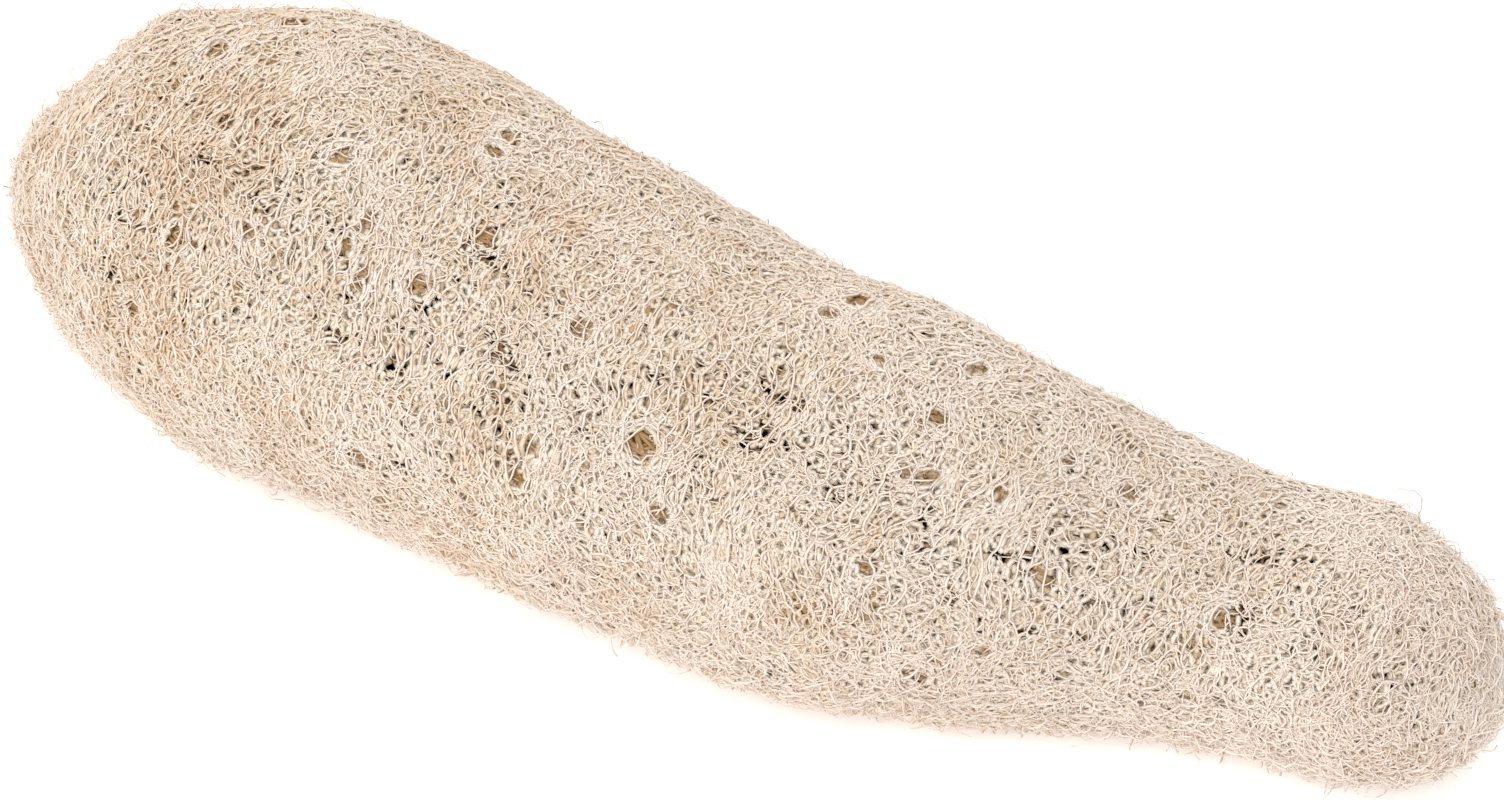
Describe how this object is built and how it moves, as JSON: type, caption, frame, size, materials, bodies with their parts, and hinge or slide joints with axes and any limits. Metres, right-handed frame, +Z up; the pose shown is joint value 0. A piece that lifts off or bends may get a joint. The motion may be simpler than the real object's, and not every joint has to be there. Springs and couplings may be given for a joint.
{
  "type": "loofah back scrubber",
  "caption": "Whole dried loofah sponge: a long open net of plant fibres, thick and domed at one end and narrow at the other, for scrubbing the back.",
  "frame": {"origin": "centre of the bounding box, on the surface the loofah lies on", "axes": "+X along the length towards the narrow stem end, +Z up from the surface it lies on, +Y towards its back"},
  "size_m": [0.36, 0.108, 0.1024],
  "materials": {
    "skin_fibre": "dry matte plant fibre, pale cream",
    "mat_fibre": "dry matte plant fibre, straw",
    "inner_fibre": "dry matte plant fibre, ochre",
    "scar_fibre": "frayed dry plant fibre, off-white"
  },
  "bodies": {
    "root": {"outer_net_front": "skin_fibre", "outer_net_under": "skin_fibre", "outer_net_back": "skin_fibre", "wall_mat_front": "mat_fibre", "wall_mat_under": "mat_fibre", "wall_mat_back": "mat_fibre", "channel_lining_front": "inner_fibre", "channel_lining_under": "inner_fibre", "channel_lining_back": "inner_fibre", "suture_rib_front": "skin_fibre", "suture_rib_back": "skin_fibre", "suture_rib_top": "skin_fibre", "septum_front": "inner_fibre", "septum_back": "inner_fibre", "septum_top": "inner_fibre", "core_column": "inner_fibre", "blossom_end_net": "skin_fibre", "blossom_end_mat": "mat_fibre", "blossom_scar_knot": "scar_fibre", "stem_end_net": "skin_fibre", "stem_end_mat": "mat_fibre", "stem_scar_knot": "scar_fibre"}
  },
  "joints": []
}
